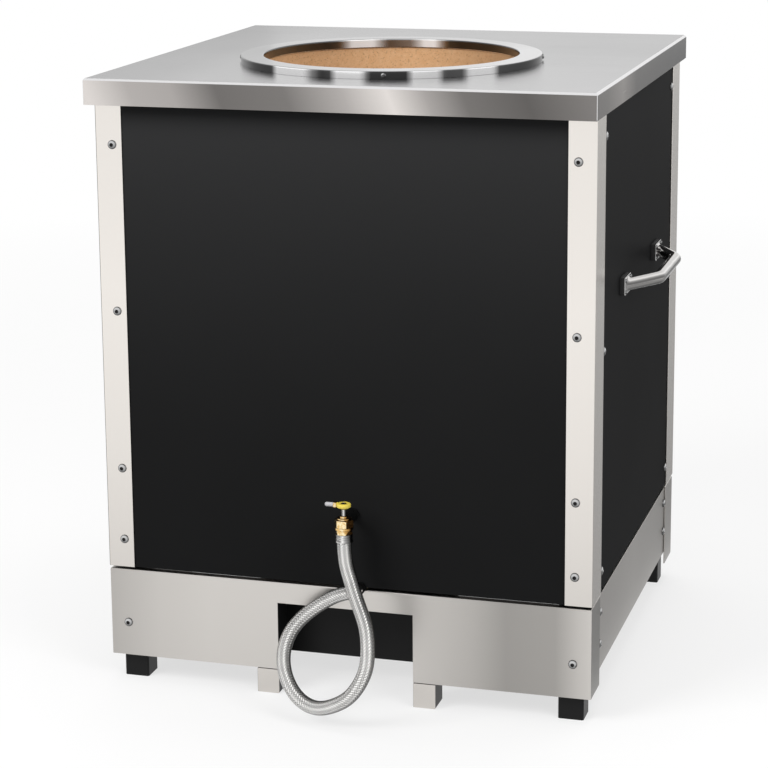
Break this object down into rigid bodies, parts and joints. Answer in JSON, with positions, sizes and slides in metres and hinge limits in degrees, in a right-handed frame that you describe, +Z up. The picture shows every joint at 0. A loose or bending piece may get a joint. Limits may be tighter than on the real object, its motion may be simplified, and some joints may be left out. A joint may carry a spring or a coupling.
{
  "type": "clay tandoor oven",
  "caption": "Square steel-clad tandoor with a round clay pot open at the top, side handles, and a gas valve with a looped braided hose.",
  "frame": {"origin": "on the floor, below the middle of the body", "axes": "+Z up, -Y towards the front with the gas valve, +X to the right seen from the front"},
  "size_m": [0.832, 0.8605, 0.9185],
  "materials": {
    "stainless_bright": "bright brushed stainless steel",
    "stainless_top": "satin stainless steel",
    "stainless_skirt": "brushed stainless steel",
    "polished_steel": "polished stainless steel",
    "black_panel": "satin black coating",
    "black_tube": "black coating",
    "dark_steel": "dark hot-rolled steel",
    "clay": "unglazed fired clay",
    "fire_tile": "cast refractory",
    "fibre_fill": "ceramic fibre fill",
    "cast_iron": "rough cast iron",
    "brass": "turned brass",
    "yellow_grip": "glossy yellow plastic",
    "pale_sleeve": "pale grey plastic",
    "black_pad": "matte black plastic",
    "braid": "woven stainless steel wire"
  },
  "bodies": {
    "housing": {"top_plate": "stainless_top", "mouth_ring": "polished_steel", "ring_screws": "polished_steel", "clay_pot": "clay", "pot_tile": "fire_tile", "insulation": "fibre_fill", "base_plate": "dark_steel", "rail_front": "dark_steel", "rail_back": "dark_steel", "rail_left": "dark_steel", "rail_right": "dark_steel", "post_front_left": "black_tube", "post_front_right": "black_tube", "post_back_left": "black_tube", "post_back_right": "black_tube", "trim_front_left": "stainless_bright", "trim_front_right": "stainless_bright", "trim_back_left": "stainless_bright", "trim_back_right": "stainless_bright", "trim_screws": "polished_steel", "panel_front": "black_panel", "panel_back": "black_panel", "panel_left": "black_panel", "panel_right": "black_panel", "panel_screws": "polished_steel", "skirt_front": "stainless_skirt", "skirt_back": "stainless_skirt", "skirt_left": "stainless_skirt", "skirt_right": "stainless_skirt", "skirt_screws": "polished_steel", "leg_left": "black_tube", "leg_right": "black_tube", "leg_face_left": "stainless_bright", "leg_face_right": "stainless_bright", "burner_shield": "black_tube", "handle_bar_left": "polished_steel", "handle_bar_right": "polished_steel", "handle_plates": "polished_steel", "handle_pads": "black_pad", "handle_screws": "polished_steel", "valve_body": "brass", "valve_nipple": "black_tube", "valve_bonnet": "brass", "hose_nut": "brass", "hose_ferrule": "polished_steel", "hose": "braid", "elbow_ferrule": "polished_steel", "inlet_elbow": "polished_steel", "elbow_nut": "polished_steel", "burner_head": "cast_iron", "burner_cap": "cast_iron", "burner_hanger": "dark_steel", "burner_pipe": "brass", "supply_pipe": "dark_steel", "gas_inlet": "brass", "flame_spreader": "cast_iron"},
    "lever": {"valve_stem": "polished_steel", "valve_lever": "yellow_grip", "lever_sleeve": "pale_sleeve", "lever_screw": "polished_steel"}
  },
  "joints": [
    {"name": "valve_turn", "type": "hinge", "parent": "housing", "child": "lever", "pos_m": [0.014, -0.384, 0.3], "axis": [0, 0, 1], "range_deg": [0, 90]}
  ]
}
